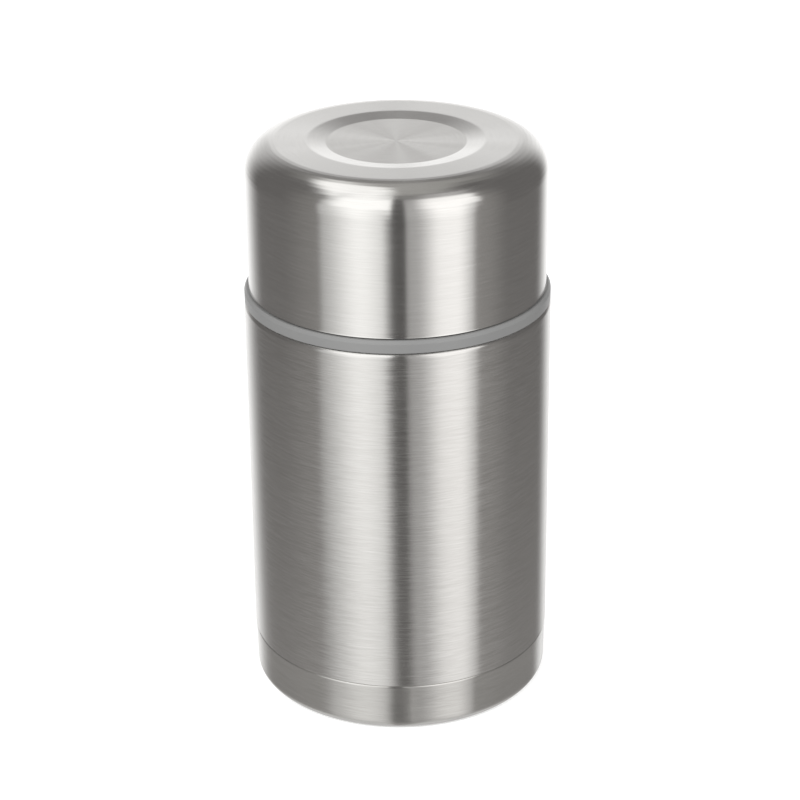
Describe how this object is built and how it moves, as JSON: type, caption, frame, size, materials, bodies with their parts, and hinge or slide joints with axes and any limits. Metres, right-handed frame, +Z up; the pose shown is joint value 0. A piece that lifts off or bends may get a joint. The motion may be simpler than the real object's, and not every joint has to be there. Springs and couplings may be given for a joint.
{
  "type": "insulated food jar",
  "caption": "Vacuum-insulated steel food jar with a grey collar, a screw-in stopper with a pressure-release button, and a screw-on cup for a lid.",
  "frame": {"origin": "middle of the foot, on the surface that the jar stands on", "axes": "+Z up along the jar's axis; the jar is round about it"},
  "size_m": [0.096, 0.096, 0.1814],
  "materials": {
    "brushed_steel": "brushed round the axis, satin",
    "liner_steel": "electropolished",
    "spring_steel": "drawn wire",
    "aluminium_foil": "bright foil",
    "getter_metal": "matt sintered",
    "glass_bead": "fused",
    "collar_plastic": "fine satin moulding",
    "stopper_plastic": "fine satin moulding",
    "button_plastic": "satin moulding",
    "cup_plastic": "smooth moulding",
    "silicone": "soft matt silicone",
    "foam": "closed-cell foam"
  },
  "bodies": {
    "jar": {"outer_shell": "brushed_steel", "inner_liner": "liner_steel", "liner_bottom": "liner_steel", "vacuum_base": "liner_steel", "pump_out_seal": "glass_bead", "getter_clip": "getter_metal", "getter_pellet": "getter_metal", "reflective_foil": "aluminium_foil", "base_cup": "brushed_steel", "collar_ring": "collar_plastic"},
    "stopper_gasket": {"stopper_gasket": "silicone"},
    "stopper": {"stopper_plug": "stopper_plastic", "stopper_cap": "stopper_plastic", "stopper_foam": "foam", "valve_spring": "spring_steel"},
    "valve": {"valve_button": "button_plastic", "valve_stem": "button_plastic", "valve_seal": "silicone", "valve_retainer": "button_plastic"},
    "cup_gasket": {"cup_gasket": "silicone"},
    "cup": {"cup_shell": "brushed_steel", "cup_liner": "cup_plastic"}
  },
  "joints": [
    {"name": "stopper_lift", "type": "slide", "parent": "jar", "child": "stopper_gasket", "axis": [0, 0, 1], "range_m": [0, 0.042]},
    {"name": "stopper_turn", "type": "hinge", "parent": "stopper_gasket", "child": "stopper", "pos_m": [0, 0, 0.128], "axis": [0, 0, 1], "range_deg": [0, 720]},
    {"name": "valve_press", "type": "slide", "parent": "stopper", "child": "valve", "axis": [0, 0, -1], "range_m": [0, 0.0025], "stiffness_N_per_m": 400, "springref_m": -0.002, "deforming": ["valve_spring"]},
    {"name": "cup_lift", "type": "slide", "parent": "stopper", "child": "cup_gasket", "axis": [0, 0, 1], "range_m": [0, 0.042]},
    {"name": "cup_turn", "type": "hinge", "parent": "cup_gasket", "child": "cup", "pos_m": [0, 0, 0.1347], "axis": [0, 0, 1], "range_deg": [0, 720]}
  ],
  "couplings": [
    {"joint": "stopper_lift", "follows": "stopper_turn", "m_per_rad": 0.0033423},
    {"joint": "cup_lift", "follows": "cup_turn", "m_per_rad": 0.0033423}
  ]
}
